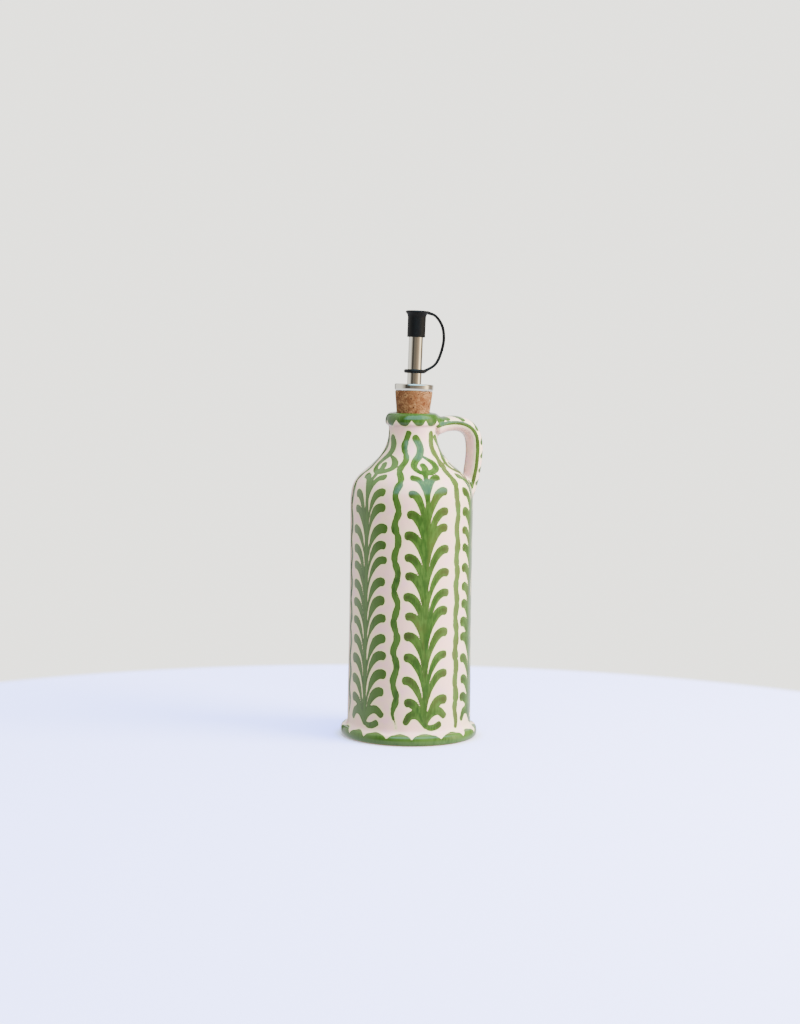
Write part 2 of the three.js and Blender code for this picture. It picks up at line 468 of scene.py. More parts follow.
def bottleProfile(s):
    foot, footHeight, inward = s["footRadius"], s["footHeight"], s["footRadius"] - s["footRound"]
    body, swell, wallBase, wallTop = s["bodyRadius"], s["wallSwell"], s["wallBase"], s["wallTop"]
    neck, lip, crest, mouth = s["neckRadius"], s["lipRadius"], s["crestRadius"], s["mouthRadius"]
    height, shoulder, top = s["height"], s["shoulderRadius"], s["shoulderTop"]
    neckTop, seat = height - s["lipDrop"], height - s["seatDepth"]
    crown = [(lip - 1, neckTop + 1), (lip + 0.4, neckTop + 2), (lip + 0.3, height - 0.5), (crest, height)]
    return outlineFrom(
        (0, 0),
        bend((inward, 0), (foot, 0), (foot, footHeight / 2), steps=7),
        bend((foot, footHeight / 2), (foot, footHeight), (inward, footHeight), steps=7),
        bend((inward, footHeight), (body + swell, footHeight + 0.7), (body + swell, wallBase), steps=8),
        bend((body + swell, wallBase), (body - swell, 76), (body, wallTop)),
        bend((body, wallTop), (body, wallTop + 13), (body - 4, wallTop + 16.7), (shoulder, top), steps=24),
        bend((shoulder, top), (shoulder - 7, top + 5.5), (neck, top + 13), (neck, neckTop - 3), steps=25),
        bend((neck, neckTop - 1), (neck, neckTop + 0.4), (lip - 1, neckTop + 1), steps=6),
        bend(*crown, steps=15),
        bend((crest, height), (mouth, height), (mouth, height - s["mouthRound"]), steps=8),
        (mouth, seat),
        (0, seat),
    )


handleSizes = {
    "halfWidth": 9.5,
    "halfThickness": 4.9,
    "squareness": 0.88,
    "flare": 0.3,
    "flarePower": 6.0,
    "rings": 150,
    "sides": 57,
    "wobble": 0.5,
    "wobbleScale": 45.0,
    "seed": 8.0,
    "stations": [
        (13.2, 200.2), (21, 202.6), (29.6, 202.9), (36.2, 200.4), (40.1, 195.2), (41.4, 188),
        (41.2, 180.5), (40.3, 173), (38.7, 165.5), (36, 158), (32.6, 151.5),
    ],
}


def bottleStep(middle):
    s = bottleSizes
    radius, height = middle
    inSeat = radius <= s["mouthRadius"] + 0.01 and height < s["height"] - 3
    if height < 0.1 or inSeat:
        return s["hiddenStep"]
    return s["fineStep"] if height > s["fineAbove"] or height < s["fineBelow"] else s["rowStep"]


profilePoints = finely(bottleProfile(bottleSizes), bottleStep)
handlePoints = smoothLine(handleSizes["stations"])
profileGuide = guideCurve("profileGuide", profilePoints)
handleGuide = guideCurve("handleGuide", handlePoints)


def makeBottleForm(s, h):
    body = growTurned("paintedBottle", profileGuide, len(profilePoints), s)
    handle = grow("handleForm", sweptTree, {**h, "path": handleGuide})
    depsgraph = bpy.context.evaluated_depsgraph_get()
    wallTree, handleTree = (BVHTree.FromObject(form, depsgraph) for form in (body, handle))
    uniteWith(body, [handle])
    return body, wallTree, handleTree


def distancesTo(tree, points):
    return np.array([tree.find_nearest(point)[3] for point in points])


seamSizes = {
    "touching": 0.02,  # points this near to both forms lie on the seam
    "reach": 5.5,
    "falloff": 1.3,
    "rounds": 45,
    "share": 0.7,  # of the way to the neighbours' mean in each round
}


def smoothSeam(mesh, wallGap, handleGap, s):  # clay wiped smooth where the handle's ends are pressed on
    points = pointsOf(mesh)
    seam = points[np.maximum(wallGap, handleGap) < s["touching"] * mm]
    near = KDTree(len(seam))
    for k, point in enumerate(seam):
        near.insert(point, k)
    near.balance()
    apart = np.array([near.find(point)[2] for point in points]) / mm
    weight = np.clip(1 - apart / s["reach"], 0, 1)[:, None] ** s["falloff"]
    ends = np.zeros(len(mesh.edges) * 2, int)
    mesh.edges.foreach_get("vertices", ends)
    ends = ends.reshape(-1, 2)
    degree = np.bincount(ends.ravel(), minlength=len(points))[:, None]
    for _ in range(s["rounds"]):
        total = np.zeros_like(points)
        for axis in range(3):
            total[:, axis] = np.bincount(ends[:, 0], points[ends[:, 1], axis], len(points))
            total[:, axis] += np.bincount(ends[:, 1], points[ends[:, 0], axis], len(points))
        points += s["share"] * weight * (total / degree - points)
    mesh.vertices.foreach_set("co", points.ravel())
    mesh.update()


bottle, wallTree, handleTree = makeBottleForm(bottleSizes, handleSizes)
wallGap, handleGap = (distancesTo(tree, pointsOf(bottle.data)) for tree in (wallTree, handleTree))
onHandle = handleGap < wallGap
smoothSeam(bottle.data, wallGap, handleGap, seamSizes)
report("bottle and handle formed")


# Painting: strokes are lines with a half width, in millimetres on the surface. Across runs round the
# bottle from the stroke's own axis, and along runs up its outline, equal to the height on the wall.

frondSizes = {
    "count": 6,
    "firstAxis": -90.0,  # degrees round the bottle, the middle of the front
    "foot": 13.0,
    "top": 174.0,
    "tipFirst": 31.0,
    "tipLast": 162.5,
    "tipSpread": 0.9,
    "leaves": 11,
    "reach": 13.0,
    "reachSpread": 0.45,
    "length": 27.0,
    "leafHalf": 2.9,
    "leafShares": [0, 0.2, 0.36, 0.52, 0.72, 0.92, 1],  # of the way along a leaf
    "leafWidths": [0.26, 0.36, 0.52, 0.8, 1.03, 1.06, 0.98],
    "leafFilling": [0.1, 0.35, 0.45, 0.3, 0.1, 0, 0],  # added to the width for a fullness of 1
    "curls": [  # strokes at the frond's foot, with their half widths
        ([(-0.5, 0.6), (-4.6, 6.2), (-9.4, 6.2), (-12.4, 1.6)], [1.5, 2.6, 2.6, 2.0]),
        ([(0.2, -0.2), (3.2, -1.6), (6.6, -1.4), (10.2, 0.4)], [1.2, 1.9, 2.2, 2.2]),
        ([(0.6, 1.5), (3.8, 7.0), (9.2, 9.0), (13.6, 5.6)], [1.5, 2.6, 2.7, 2.2]),
    ],
    "brushFills": [1.0, 0.9, 1.0, 0.95, 0.85, 0.0],  # how full the brush was for each frond; the last one, seen at the left, is painted paler, partly as a painted haze of reflected room light
    "fullness": [  # of the leaves at the foot and at the top of each frond
        (-0.1, 0.3), (0, 0.2), (0, 0.3), (-0.2, 0.1), (0, 0.2), (-0.45, -0.3),
    ],
}
waveSizes = {
    "axis": 32.0,  # degrees past each frond
    "foot": 11.0,
    "top": 205.5,
    "half": 2.1,
    "swing": 1.25,
    "pitch": 19.0,
    "step": 3.0,
    "taperRun": 14.0,
    "aside": 0.0,
    "wide": 1.0,
    "wideSpread": 0.05,
    "tone": 0.2,
    "thinnest": 0.12,  # share of the width at the foot
}
calmWave = {  # the right one in the photograph is calmer and more olive
    "swing": 0.625,
    "aside": 1.2,
    "wide": 1.12,
    "wideSpread": 0.0,
    "tone": -0.6,
    "thinnest": 0.8,
}
toothSizes = {
    "lipCount": 11,
    "lipOffset": 0.29,
    "lipHigh": 205.6,  # heights on the outline
    "lipLow": 201.8,
    "lipSharpness": 0.95,
    "humpCount": 16,
    "humpOffset": 0.42,
    "humpHigh": 7.75,
    "humpLow": 4.3,
    "humpSharpness": 0.85,
    "lipReach": 20.5,  # the lip is inside this radius
    "lipFrom": 190.0,  # and above this height
    "footTo": 16.0,
    "slope": 0.8,  # how fast the paint's edge rises across the line
}
gripSizes = {
    "lineOut": (1.3, -0.3),  # at the lip, and on the way down
    "lineHalf": 1.2,
    "sideFrom": 5.5,  # the faces beyond this from the middle are the sides
    "nearEnd": (6.3, 7.5),  # how far the dashes reach towards the line, at the lip and on the way down
    "farEnd": 7.6,
    "halfTurn": 11.6,  # round the section from the middle of the outer face to its side
    "first": 4.6,
    "last": 84.0,
    "pitch": 8.7,
    "rise": 5.5,  # a dash slants this much to one side of its middle
    "fall": 4.4,
    "half": 1.9,
    "taper": (0.85, 1.0, 1.0, 1.0, 0.5),
}
draw = np.random.default_rng(41)


def jitter(size):
    return float(draw.normal(0.0, size))


def stroke(line, halves, tone=0.0, tip=0.0, steps=5):
    line = smoothLine(line, steps)
    halves = np.interp(np.linspace(0, 1, len(line)), np.linspace(0, 1, len(halves)), halves)
    return {"line": line, "halves": halves, "tone": tone, "tip": tip}


def leafStroke(s, side, tip, reach, base, half, tone, fullness):
    curve = bend(
        (0.3 * side, base),
        (2.1 * side, tip - 12.0),
        (0.50 * reach * side, tip + 0.9 + jitter(0.5)),
        (reach * side, tip - 0.5 - abs(jitter(0.7))),
        steps=14,
    )
    widths = np.array(s["leafWidths"]) + fullness * np.array(s["leafFilling"])
    halves = half * np.interp(np.linspace(0, 1, len(curve)), s["leafShares"], widths)
    return {"line": curve, "halves": halves, "tone": tone, "tip": 1.0}


def frondStrokes(s, leaves, fullness):
    hue = 0.2 + jitter(0.12)
    sway = [jitter(0.3) for _ in range(6)]
    heights = np.linspace(s["foot"] - 1.0, s["top"], 6)
    low, high = s["foot"], s["top"]
    made = [stroke(list(zip(sway, heights)), [1.1, 1.4, 1.45, 1.45, 1.5, 1.3], hue)]
    for side in (-1, 1):
        tips = np.linspace(s["tipFirst"], s["tipLast"], leaves) + side * 1.7
        tips += 1.1 * np.sin(np.linspace(0, math.pi, leaves))
        for k, tip in enumerate(tips):
            share = k / (leaves - 1)
            tip += jitter(s["tipSpread"])
            reach = s["reach"] + side * 0.8 + jitter(s["reachSpread"]) - 1.2 * max(0, share - 0.8) / 0.2
            base = max(tip - s["length"] + jitter(1.2), s["foot"])
            half = s["leafHalf"] * (1 + jitter(0.05)) * (1 - 0.1 * share)
            full = fullness[0] + (fullness[1] - fullness[0]) * share
            made.append(leafStroke(s, side, tip, reach, base, half, hue + jitter(0.35), full))
        crown = high - 2.6 + jitter(0.7)
        sprig = [(0.3, crown - 15), (2.0, crown - 7), (4.8, crown - 1), (8.2, crown + 0.4)]
        sprig = [(side * across, up) for across, up in sprig]
        made.append(stroke(sprig, [0.9, 1.6, 2.3, 2.6], hue + 0.3, 0.6))
    tones = (hue, hue, hue + jitter(0.3))
    for (line, halves), tone in zip(s["curls"], tones):
        made.append(stroke([(across, low + up) for across, up in line], halves, tone, 1.0))
    return made


def budStrokes():
    hue = 0.25 + jitter(0.2)
    loop = [
        (-1.8, 202.4), (0.3, 198.6), (0.8, 195), (-0.6, 190.6), (-3.6, 186.6), (-5.3, 182.2), (-3.7, 178.2),
        (0.4, 175.9), (5.4, 176.8), (9.3, 180.2), (8.4, 184.2), (5.2, 187.6), (1.0, 190.6),
    ]
    shift = jitter(0.3) - 0.3
    line = [(x + shift, y + jitter(0.15)) for x, y in loop]
    drop = [(0.3, 171.5), (0.8 + shift, 176.5), (1.5 + shift, 180.0), (0.5 + shift, 183.4)]
    return [
        stroke(line, [2.3, 2.5, 2.5, 2.4, 2.2, 2.1, 1.9, 2.0, 2.3, 2.5, 2.2, 1.5, 0.6], hue),
        stroke(drop, [1.5, 1.6, 2.3, 2.1], hue),
    ]


def waveStroke(s, wide):
    step, finer = s["step"], 3
    heights = np.arange(s["foot"], s["top"] + step, step)
    phase, drift = draw.uniform(0, math.tau), jitter(0.3)
    line, halves = [], []
    for height in heights:
        phase += step * math.tau / s["pitch"] * (1 + jitter(0.16))
        line.append((s["swing"] * math.sin(phase) + drift, height))
        halves.append(s["half"] * wide * (1 + jitter(0.07) + 0.12 * math.sin(2.3 * phase)))
    taper = np.clip((heights - s["foot"]) / s["taperRun"], s["thinnest"], 1)
    crown = np.clip((s["top"] + 8.0 - heights) / s["taperRun"], 0.9, 1)
    line = smoothLine(line, finer)
    widths = np.repeat(np.array(halves) * taper * crown, finer)[: len(line)]
    return {"line": line, "halves": widths, "tone": s["tone"], "tip": 0.0}


class Coat:  # what the brush has left at each point of the surface
    def __init__(self, count):
        self.edge = np.full(count, -6.0)
        self.load = np.zeros(count)
        self.tip = np.zeros(count)
        self.tone = np.zeros(count)
        self.weight = np.full(count, 1e-6)

    def lay(self, where, inside, half, tone, tip=0.0, fill=1.0):
        before, merge = self.edge[where], 0.8  # strokes closer than half of this run together
        joined = np.clip(1 - np.abs(before - inside) / merge, 0, 1) ** 2 * merge / 4
        self.edge[where] = np.maximum(before, inside) + joined
        share = np.exp(-((np.maximum(half - inside, 0) / np.maximum(half, 0.3)) ** 2) * 1.4)
        self.load[where] = 1 - (1 - self.load[where]) * (1 - 0.5 * share * fill)
        self.tip[where] = self.tip[where] * (1 - share) + tip * share
        self.tone[where] += share * tone
        self.weight[where] += share

    def brush(self, across, along, candidates, strokes, fill=1.0):
        margin, blunt = 7.0, 0.45
        for made in strokes:
            line, halves = made["line"], made["halves"]
            low, high = line.min(0) - margin, line.max(0) + margin
            inBox = (across > low[0]) & (across < high[0]) & (along > low[1]) & (along < high[1])
            where = candidates[inBox]
            spots = np.stack([across[inBox], along[inBox]], 1)
            best, width, reached = np.full(len(where), -9.0), np.ones(len(where)), np.zeros(len(where))
            for k, (start, end) in enumerate(zip(line, line[1:])):
                run = end - start
                share = np.clip(((spots - start) @ run) / max(run @ run, 1e-9), 0, 1)
                half = halves[k] + (halves[k + 1] - halves[k]) * share
                apart = spots - start - share[:, None] * run
                if k == len(line) - 2:  # the brush lifts off bluntly
                    ahead = np.maximum(apart @ run, 0)[:, None] * run / (run @ run)
                    apart = apart + blunt * ahead
                inside = half - np.linalg.norm(apart, axis=1)
                better = inside > best
                best = np.where(better, inside, best)
                width = np.where(better, half, width)
                reached = np.where(better, (k + share) / (len(line) - 1), reached)
            pooled = np.clip((reached - 0.5) / 0.5, 0, 1) ** 1.5 * made["tip"]
            self.lay(where, best, width, made["tone"], pooled * (0.4 + 0.6 * fill), fill)


def teeth(turn, kind, low, high):  # humps with pointed valleys between them
    phase = (turn / math.tau * toothSizes[kind + "Count"] + toothSizes[kind + "Offset"]) % 1.0
    return low + (high - low) * np.abs(np.sin(math.pi * phase)) ** toothSizes[kind + "Sharpness"]


def paintBottle(mesh):
    points = pointsOf(mesh) / mm
    x, y, height = points.T
    turn, radius = np.arctan2(y, x), np.hypot(x, y)
    outer = profilePoints[: int(np.argmax(profilePoints[:, 1])) + 1]
    lengths = lengthsAlong(outer)
    wallStart = np.interp(bottleSizes["wallBase"], outer[:, 1], lengths) - bottleSizes["wallBase"]
    upward = outer[:, 1] + 1e-6 * np.arange(len(outer))
    along = np.interp(height, upward, lengths - wallStart)
    coat = Coat(len(points))
    wall = np.flatnonzero(~onHandle & (height > 0.3))

    def sector(axis, reach=37.0):  # the part of the wall within so many degrees of an axis
        away = (turn[wall] - math.radians(axis) + math.pi) % math.tau - math.pi
        keep = np.abs(away) < math.radians(reach)
        return wall[keep], away[keep] * radius[wall][keep], along[wall][keep]

    f, g, t = frondSizes, gripSizes, toothSizes
    for k in range(f["count"]):
        axis = f["firstAxis"] + k * 360 / f["count"]
        where, across, up = sector(axis)
        leaves = f["leaves"] + (k % 2)
        fill, fullness = f["brushFills"][k], f["fullness"][k]
        coat.brush(across, up, where, frondStrokes(f, leaves, fullness) + budStrokes(), fill)
        wave = {**waveSizes, **calmWave} if k == 0 else waveSizes
        where, across, up = sector(axis + wave["axis"] + wave["aside"])
        wide = wave["wide"] + jitter(wave["wideSpread"])
        # each wave is half as pale as its frond's brush, so the last frond's painted haze carries on to its
        # wave
        coat.brush(across, up, where, [waveStroke(wave, wide)], 0.5 + 0.5 * fill)

    def lengthAt(level):
        return float(np.interp(level, upward, lengths - wallStart))

    grip = np.flatnonzero(onHandle)
    run, out = alongHandle(points[grip])
    middle = np.interp(run, [0, 40], g["lineOut"])
    side = np.abs(points[grip, 1]) > g["sideFrom"]
    inside = np.where(side, g["lineHalf"] - np.abs(out - middle), -3.0)
    coat.lay(grip, inside, g["lineHalf"], -0.3)
    section = np.arctan2(points[grip, 1] / handleSizes["halfWidth"], out / handleSizes["halfThickness"])
    aroundGrip = section / (math.pi / 2) * g["halfTurn"]
    dashes = []
    for start in np.arange(g["first"], g["last"], g["pitch"]):
        start += jitter(0.5)
        nearEnd = -np.interp(start, (0, 35), g["nearEnd"])
        bent = (jitter(0.6), start + jitter(0.5))
        line = [(nearEnd, start + g["fall"]), bent, (g["farEnd"], start - g["rise"])]
        dashes.append(stroke(line, [g["half"] * part for part in g["taper"]], -0.1))
    coat.brush(aroundGrip, run, grip, dashes)

    wander = 0.35 * np.sin(3 * turn + 0.7) + 0.25 * np.sin(5 * turn + 2.0)
    lipTurn = turn + 0.03 * np.sin(4 * turn) + 0.02 * np.sin(9 * turn)
    lipEdge = teeth(lipTurn, "lip", lengthAt(t["lipHigh"]), lengthAt(t["lipLow"]))
    onLip = np.flatnonzero((radius < t["lipReach"]) & (height > t["lipFrom"]))
    coat.lay(onLip, t["slope"] * (along - lipEdge - 0.3 * wander)[onLip], 1.0, 0.25)
    humpTurn = turn + 0.04 * np.sin(3 * turn + 1.0) + 0.02 * np.sin(7 * turn)
    humpEdge = teeth(humpTurn, "hump", lengthAt(t["humpLow"]), lengthAt(t["humpHigh"]))
    onFoot = np.flatnonzero(~onHandle & (height < t["footTo"]))
    coat.lay(onFoot, t["slope"] * (humpEdge + 0.4 * wander - along)[onFoot], 1.0, 0.3, fill=0.3)

    coat.tone /= coat.weight
    for name in ("edge", "load", "tip", "tone"):
        layer = mesh.attributes.new("paint" + name.capitalize(), "FLOAT", "POINT")
        layer.data.foreach_set("value", np.asarray(getattr(coat, name), np.float32))


def alongHandle(points):  # length along the handle's middle line, and how far out from it
    lengths = lengthsAlong(handlePoints)
    spots = points[:, [0, 2]]
    nearest = np.argmin(np.linalg.norm(spots[:, None] - handlePoints[None], axis=2), axis=1)
    heading = np.gradient(handlePoints, axis=0)
    heading /= np.linalg.norm(heading, axis=1)[:, None]
    away = spots - handlePoints[nearest]
    out = -heading[nearest, 1] * away[:, 0] + heading[nearest, 0] * away[:, 1]
    return lengths[nearest] + np.einsum("ij,ij->i", away, heading[nearest]), out


paintBottle(bottle.data)
report("bottle painted")


glazeLook = {  # sRGB
    "white": srgb(237, 193, 187),
    "cream": srgb(229, 201, 177),
    "lilac": srgb(230, 183, 195),
    "halo": srgb(216, 214, 164),
    "deepGreen": srgb(28, 49, 14),
    "green": srgb(40, 71, 24),
    "paleGreen": srgb(64, 97, 40),
    "olive": srgb(67, 82, 36),
    "pooledTip": srgb(46, 57, 22),
    "clay": srgb(196, 160, 128),
}


def glazeMaterial(look):
    material, book, place = newMaterial("paintedGlaze")
    edge, load, tip, tone = (
        book.node("ShaderNodeAttribute", {"attribute_name": name}, None, "Fac")
        for name in ("paintEdge", "paintLoad", "paintTip", "paintTone")
    )
    ragged = edge + (book.noise(place, 900, 2) - 0.5) * 0.22 + (book.noise(place, 220, 1) - 0.5) * 0.35
    painted = book.smooth(ragged, -0.14, 0.12)
    halo = book.smooth(ragged, -1.5, -0.3)
    rim = book.smooth(ragged, 0.75, 0.1)
    ground = book.blend(book.smooth(book.noise(place, 46, 2), 0.4, 0.7), look["white"], look["cream"])
    ground = book.blend(book.smooth(book.noise(place, 95, 3), 0.42, 0.72), ground, look["lilac"])
    ground = book.blend(halo * 0.85, ground, look["halo"])
    streaks = book.noise(book.stretched(place, (1.0, 1.0, 0.16)), 900, 3, 0.6)
    blotches = book.noise(place, 130, 2)
    pooled = book.smooth(load * 0.6 + streaks * 0.7 + blotches * 0.8, 0.65, 1.6)
    hue = book.smooth(tone + (book.noise(place, 70, 2) - 0.5) * 1.2, -0.8, 0.3)
    green = book.blend(hue, look["olive"], look["green"])
    green = book.blend(book.smooth(pooled, 0.0, 0.5, 0.85, 0.0), green, look["paleGreen"])
    green = book.blend(book.smooth(pooled, 0.5, 1.0, 0.0, 0.7), green, look["deepGreen"])
    green = book.blend(tip * book.smooth(blotches, 0.25, 0.6, 0.35, 0.9), green, look["pooledTip"])
    green = book.blend(rim * 0.4, green, look["deepGreen"])
    colour = book.blend(painted, ground, green)
    bare = book.smooth(book.split(place)[2], 0.0007, 0.0002)  # the clay under the foot
    colour = book.blend(bare, colour, look["clay"])
    waves = book.noise(place, 85, 2) * 0.3 + book.noise(place, 420, 2) * 0.025
    relief = waves + painted * 0.03 + (streaks * painted) * 0.015
    sockets = {
        "Base Color": colour,
        "Roughness": 0.5,
        "Specular IOR Level": 0.0,
        "Coat Weight": 1.0 - bare,
        "Coat Roughness": 0.06,
        "Coat IOR": 1.5,
        "Normal": book.bump(relief),
    }
    finishMaterial(book, sockets)
    return material


dress(bottle, glazeMaterial(glazeLook), "painted_glaze", "ceramic_bottle")
report("bottle glazed")


# Stopper, spout and cap: made upright over the lip, then leant as one

stopperSizes = {
    "corkRadiusAtLip": 10.75,
    "corkTaper": 0.098,
    "corkTop": 13.7,
    "corkBottom": -12.0,
    "collarRadius": 12.6,
    "collarHeight": 4.3,
    "tubeRadius": 4.6,
    "tubeTop": 62.6,
    "gap": 0.3,
    "lean": 2.5,  # degrees
    "heading": 37.0,  # degrees from +X towards +Y
}
capSizes = {
    "bottom": 48.4,
    "top": 65.5,
    "radius": 5.9,
    "wall": 0.95,
    "flange": 7.6,
    "flare": 4.6,
    "strapReach": 18.5,
    "ringHeight": 26.5,
    "ringRadius": 7.0,
    "ringThickness": 2.5,
    "ringClearance": 0.4,
}
strapSizes = {
    "halfWidth": 1.6,
    "halfThickness": 0.9,
    "squareness": 0.9,
    "flare": 0.5,
    "flarePower": 14.0,
    "rings": 150,
    "sides": 29,
    "wobble": 0.04,
    "wobbleScale": 160.0,
    "seed": 2.0,
}
turnedSizes = {
    "corkStopper": {
        "columns": 240,
        "step": 0.35,
        "wobble": 0.25,
        "wobbleScale": 120.0,
        "pitDepth": 0.45,
        "pitScale": 420.0,
        "pitShare": 0.28,
        "seed": 5.0,
    },
    "spoutCollar": {"columns": 160, "step": 0.5},
    "spoutTube": {"columns": 96, "step": 1.0},
    "strappedCap": {"columns": 96, "step": 0.6},
    "capRing": {"columns": 96, "step": 1.0},
}


def leanMatrix(s):
    heading = math.radians(s["heading"])
    axis = Vector((-math.sin(heading), math.cos(heading), 0.0))
    lip = Matrix.Translation((0.0, 0.0, bottleSizes["height"] * mm))
    return lip @ Matrix.Rotation(math.radians(s["lean"]), 4, axis)


def turnPiece(name, outline):
    s = turnedSizes[name]
    outline = finely(outline, lambda middle: s["step"])
    guide = guideCurve(name + "Guide", outline)
    piece = growTurned(name, guide, len(outline), s)
    bpy.data.objects.remove(guide)
    return piece


def makeCork(s):
    def radiusAt(height):
        return s["corkRadiusAtLip"] + s["corkTaper"] * height

    low, high, bore, soft = s["corkBottom"], s["corkTop"], s["tubeRadius"] + s["gap"], 0.5
    outline = outlineFrom(
        (bore, low),
        bend((radiusAt(low) - soft, low), (radiusAt(low), low), (radiusAt(low), low + soft), steps=4),
        bend((radiusAt(high), high - soft), (radiusAt(high), high), (radiusAt(high) - soft, high), steps=4),
        (bore, high),
        (bore, low),
    )
    return turnPiece("corkStopper", outline)


def makeCollar(s):
    low, high = s["corkTop"] + 0.03, s["corkTop"] + s["gap"] + s["collarHeight"]
    bore, rim = s["tubeRadius"] + s["gap"], s["collarRadius"]
    outline = outlineFrom(
        (bore, low),
        bend((rim - 1.3, low), (rim - 0.4, low + 0.05), (rim - 0.13, low + 1.3), steps=8),
        bend((rim, high - 1.0), (rim, high - 0.05), (rim - 0.9, high), steps=10),
        (bore + 0.9, high),
        bend((bore + 0.9, high), (bore + 0.25, high), (bore + 0.05, high), steps=4),
        (bore, low),
    )
    return turnPiece("spoutCollar", outline)


def makeTube(s):
    low, high, radius, soft = s["corkBottom"], s["tubeTop"], s["tubeRadius"], 0.4
    mouth, mouthFloor = radius - 0.8, high - 5
    outline = outlineFrom(
        (0, low),
        (radius, low),
        bend((radius, high - soft), (radius, high), (radius - soft, high), steps=4),
        (mouth, high),
        (mouth, mouthFloor),
        (0, mouthFloor),
    )
    return turnPiece("spoutTube", outline)


def makeCap(s, c):
    bore, roof, low, high = s["tubeRadius"] + s["gap"], s["tubeTop"] + s["gap"], c["bottom"], c["top"]
    outer, radius, flange, lip = bore + c["wall"], c["radius"], c["flange"], 0.3
    cup = outlineFrom(
        (bore, low),
        bend((outer - lip, low), (outer, low), (outer, low + lip), steps=4),
        bend((radius, high - c["flare"]), (radius + 0.15, high - 2.6), (flange - 0.5, high - 1.6), steps=8),
        bend((flange - 0.3, high - 1.4), (flange + 0.15, high - 0.8), (flange - 0.9, high - 0.1)),
        bend((flange - 1.5, high - 0.05), (2.5, high + 0.25), (0, high + 0.2), steps=8),
        (0, roof),
        (bore, roof),
        (bore, low),
    )
    cap = turnPiece("strappedCap", cup)
    inner = s["tubeRadius"] + c["ringClearance"]
    middle, reach = (inner + c["ringRadius"]) / 2, (c["ringRadius"] - inner) / 2
    turns = np.linspace(0, math.tau, 33)
    ringHeights = c["ringHeight"] - c["ringThickness"] / 2 * np.sin(turns)
    ring = turnPiece("capRing", np.stack([middle - reach * np.cos(turns), ringHeights], 1))
    start = high - 0.9
    line = [
        (flange - 1.2, start),
        (12.2, start - 1.9),
        (17.0, start - 8.1),
        (c["strapReach"], start - 16.3),
        (17.1, start - 25.1),
        (13.5, start - 33.1),
        (c["ringRadius"] - 0.9, c["ringHeight"]),
    ]
    guide = guideCurve("strapGuide", smoothLine(line))
    strap = grow("capStrap", sweptTree, {**strapSizes, "path": guide})
    bpy.data.objects.remove(guide)
    uniteWith(cap, [strap, ring])
    return cap


corkLook = {
    "light": srgb(143, 108, 73),
    "middle": srgb(106, 69, 42),
    "dark": srgb(74, 38, 20),
    "pit": srgb(36, 18, 10),
    "grains": 430.0,  # for each metre
}


def corkMaterial(look):
    material, book, place = newMaterial("agglomeratedCork")
    drift = book.noise(place, 700, output=1)
    warped = book.vector("ADD", {0: place, 1: book.vector("SCALE", {0: drift, "Scale": 0.0018})})
    grain = book.node("ShaderNodeSeparateColor", None, {0: book.cells(warped, look["grains"], "Color")})
    seam = book.cells(warped, look["grains"], 0, "DISTANCE_TO_EDGE")
    colour = book.blend(grain, look["light"], look["middle"])
    colour = book.blend(book.smooth(book.noise(place, 1300, 3), 0.48, 0.72) * 0.8, colour, look["dark"])
    colour = book.blend(book.smooth(seam, 0.12, 0.0) * 0.5, colour, look["dark"])
    flecks = book.noise(book.stretched(place, (1.0, 1.0, 0.45)), 620, 2, 0.6)
    colour = book.blend(book.smooth(flecks, 0.60, 0.68) * 0.75, colour, look["dark"])
    pitted = book.smooth(book.noise(place, 260, 1), 0.45, 0.58)
    pits = book.smooth(book.cells(warped, look["grains"]), 0.27, 0.14) * pitted
    colour = book.blend(pits, colour, look["pit"])
    relief = book.noise(place, 1600, 3) * 0.12 + book.smooth(seam, 0.0, 0.12) * 0.06 - pits * 0.25
    bump = book.bump(relief)
    sockets = {"Base Color": colour, "Roughness": 0.86, "Specular IOR Level": 0.2, "Normal": bump}
    finishMaterial(book, sockets)
    return material


def steelMaterial():
    material, book, place = newMaterial("polishedSteel")
    lines = book.noise(book.stretched(place, (1.0, 1.0, 14.0)), 500, 3, 0.6)
    smudge = book.noise(place, 180, 2)
    colour = book.blend(smudge * 0.5, srgb(226, 222, 214), srgb(206, 200, 190))
    rough = lines * 0.04 + smudge * 0.05 + 0.03
    bump = book.bump(lines * 0.01, 0.35)
    finishMaterial(book, {"Base Color": colour, "Metallic": 1.0, "Roughness": rough, "Normal": bump})
    return material


def rubberMaterial():
    material, book, place = newMaterial("blackRubber")
    dust = book.smooth(book.noise(place, 380, 4, 0.65), 0.55, 0.85)
    fine = book.noise(place, 2600, 2)
    colour = book.blend(dust * 0.5, srgb(10, 10, 11), srgb(26, 26, 27))
    rough = dust * 0.15 + fine * 0.06 + 0.42
    bump = book.bump(fine * 0.008, 0.4)
    sockets = {"Base Color": colour, "Roughness": rough, "Specular IOR Level": 0.16, "Normal": bump}
    finishMaterial(book, sockets)
    return material


cork, collar = makeCork(stopperSizes), makeCollar(stopperSizes)
tube, cap = makeTube(stopperSizes), makeCap(stopperSizes, capSizes)
for piece in (cork, collar, tube, cap):
    piece.data.transform(leanMatrix(stopperSizes))
steel = steelMaterial()
dress(cork, corkMaterial(corkLook), "cork", "cork_stopper")
dress(collar, steel, "polished_steel", "spout_collar")
dress(tube, steel, "polished_steel", "spout_tube")
dress(cap, rubberMaterial(), "black_rubber", "spout_cap")
bpy.data.objects.remove(profileGuide)
bpy.data.objects.remove(handleGuide)
report("stopper, spout and cap made")


# Floor and light

